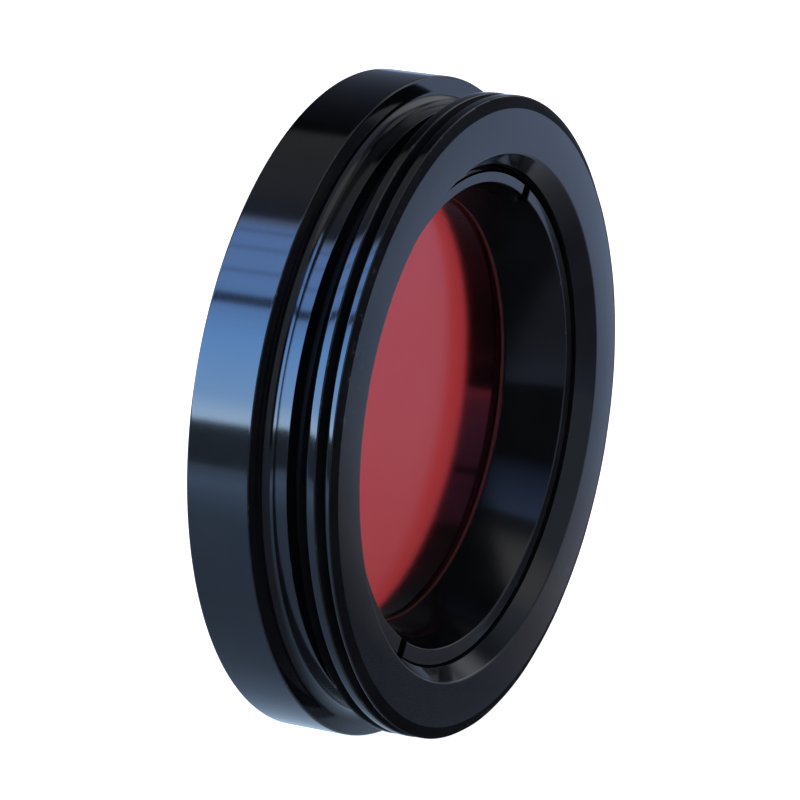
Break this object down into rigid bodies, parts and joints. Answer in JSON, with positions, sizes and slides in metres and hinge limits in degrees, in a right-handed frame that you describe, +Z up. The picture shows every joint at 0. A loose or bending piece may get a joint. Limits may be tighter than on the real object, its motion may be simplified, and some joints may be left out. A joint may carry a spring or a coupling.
{
  "type": "threaded filter cell",
  "caption": "Round black filter cell with a male camera thread, a slotted retaining ring and a red glass disc on a rear lip.",
  "frame": {"origin": "on the optical axis, at the middle of the male thread", "axes": "+X along the optical axis, out of the threaded front; +Z up when the cell stands on edge"},
  "size_m": [0.0059, 0.0262, 0.0262],
  "materials": {
    "anodised_cell": "turned, gloss black anodised",
    "anodised_ring": "turned, black anodised",
    "red_glass": "polished red absorbing glass with a bloomed coating",
    "washer_fibre": "dull red vulcanised fibre sheet",
    "gasket_rubber": "matt black rubber"
  },
  "bodies": {
    "cell": {"cell": "anodised_cell", "seat_gasket": "gasket_rubber", "filter_glass": "red_glass"},
    "slip_washer": {"slip_washer": "washer_fibre"},
    "retaining_ring": {"retaining_ring": "anodised_ring"}
  },
  "joints": [
    {"name": "ring_advance", "type": "slide", "parent": "cell", "child": "slip_washer", "axis": [1, 0, 0], "range_m": [0, 0.0035]},
    {"name": "ring_turn", "type": "hinge", "parent": "slip_washer", "child": "retaining_ring", "pos_m": [0, 0, 0], "axis": [1, 0, 0], "range_deg": [0, 2520]}
  ],
  "couplings": [
    {"joint": "ring_advance", "follows": "ring_turn", "m_per_rad": 0.000079577}
  ]
}
